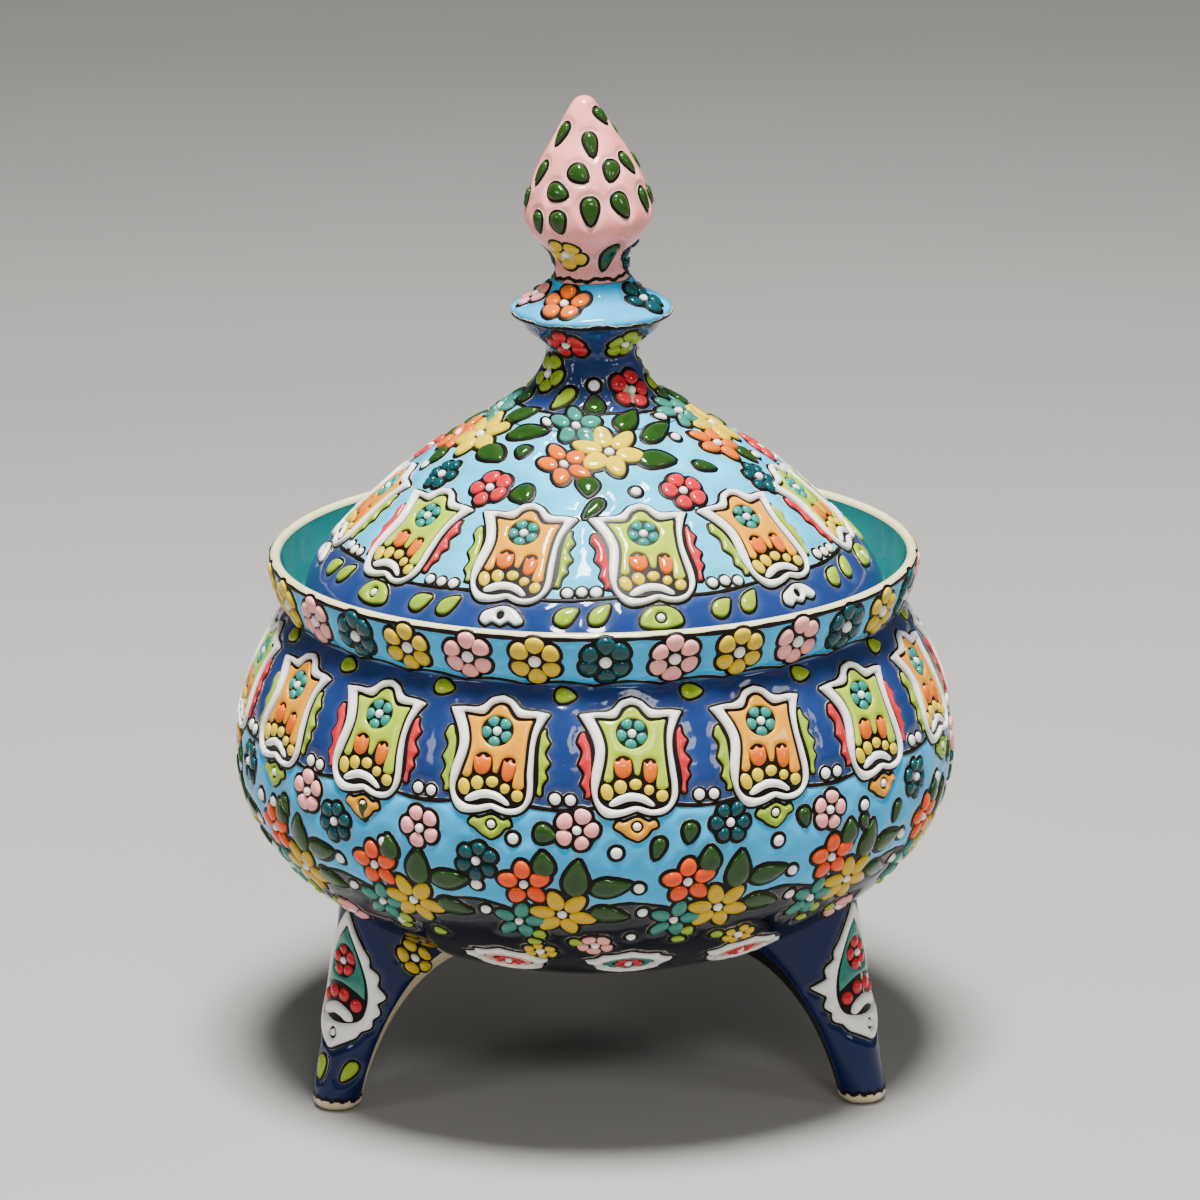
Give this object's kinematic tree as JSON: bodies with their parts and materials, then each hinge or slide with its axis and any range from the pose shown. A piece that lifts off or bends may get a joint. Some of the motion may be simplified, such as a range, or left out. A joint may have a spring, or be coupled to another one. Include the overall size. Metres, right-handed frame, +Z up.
{
  "type": "candy dish",
  "caption": "Round lidded dish on splayed legs, with a flared collar, a lift-off domed lid with a bud knob, and raised enamel palmettes on shoulder and lid.",
  "frame": {"origin": "on the floor under the bowl's axis, level with the bottoms of the feet", "axes": "+Z up through the knob, -Y towards the front of the picture, +X to its right"},
  "size_m": [0.1874, 0.1874, 0.2569],
  "materials": {
    "bowl_glaze": "gloss",
    "lid_glaze": "gloss",
    "stem_glaze": "gloss",
    "bud_glaze": "gloss",
    "leg_glaze": "gloss",
    "leg_enamel": "gloss",
    "green_enamel": "gloss",
    "amber_enamel": "gloss"
  },
  "bodies": {
    "bowl": {"bowl_body": "bowl_glaze", "leg_front_left": "leg_glaze", "leg_front_right": "leg_glaze", "leg_back": "leg_glaze", "leg_drop_front_left": "leg_enamel", "leg_drop_front_right": "leg_enamel", "leg_drop_back": "leg_enamel", "bowl_palmette_01": "green_enamel", "bowl_palmette_02": "amber_enamel", "bowl_palmette_03": "green_enamel", "bowl_palmette_04": "amber_enamel", "bowl_palmette_05": "green_enamel", "bowl_palmette_06": "amber_enamel", "bowl_palmette_07": "green_enamel", "bowl_palmette_08": "amber_enamel", "bowl_palmette_09": "green_enamel", "bowl_palmette_10": "amber_enamel", "bowl_palmette_11": "green_enamel", "bowl_palmette_12": "amber_enamel", "bowl_palmette_13": "green_enamel", "bowl_palmette_14": "amber_enamel", "bowl_palmette_15": "green_enamel", "bowl_palmette_16": "amber_enamel"},
    "lid": {"lid_dome": "lid_glaze", "knob_stem": "stem_glaze", "knob_bud": "bud_glaze", "lid_palmette_01": "green_enamel", "lid_palmette_02": "amber_enamel", "lid_palmette_03": "green_enamel", "lid_palmette_04": "amber_enamel", "lid_palmette_05": "green_enamel", "lid_palmette_06": "amber_enamel", "lid_palmette_07": "green_enamel", "lid_palmette_08": "amber_enamel", "lid_palmette_09": "green_enamel", "lid_palmette_10": "amber_enamel"}
  },
  "joints": [
    {"name": "lid_lift", "type": "slide", "parent": "bowl", "child": "lid", "axis": [0, 0, 1], "range_m": [0, 0.12]}
  ]
}
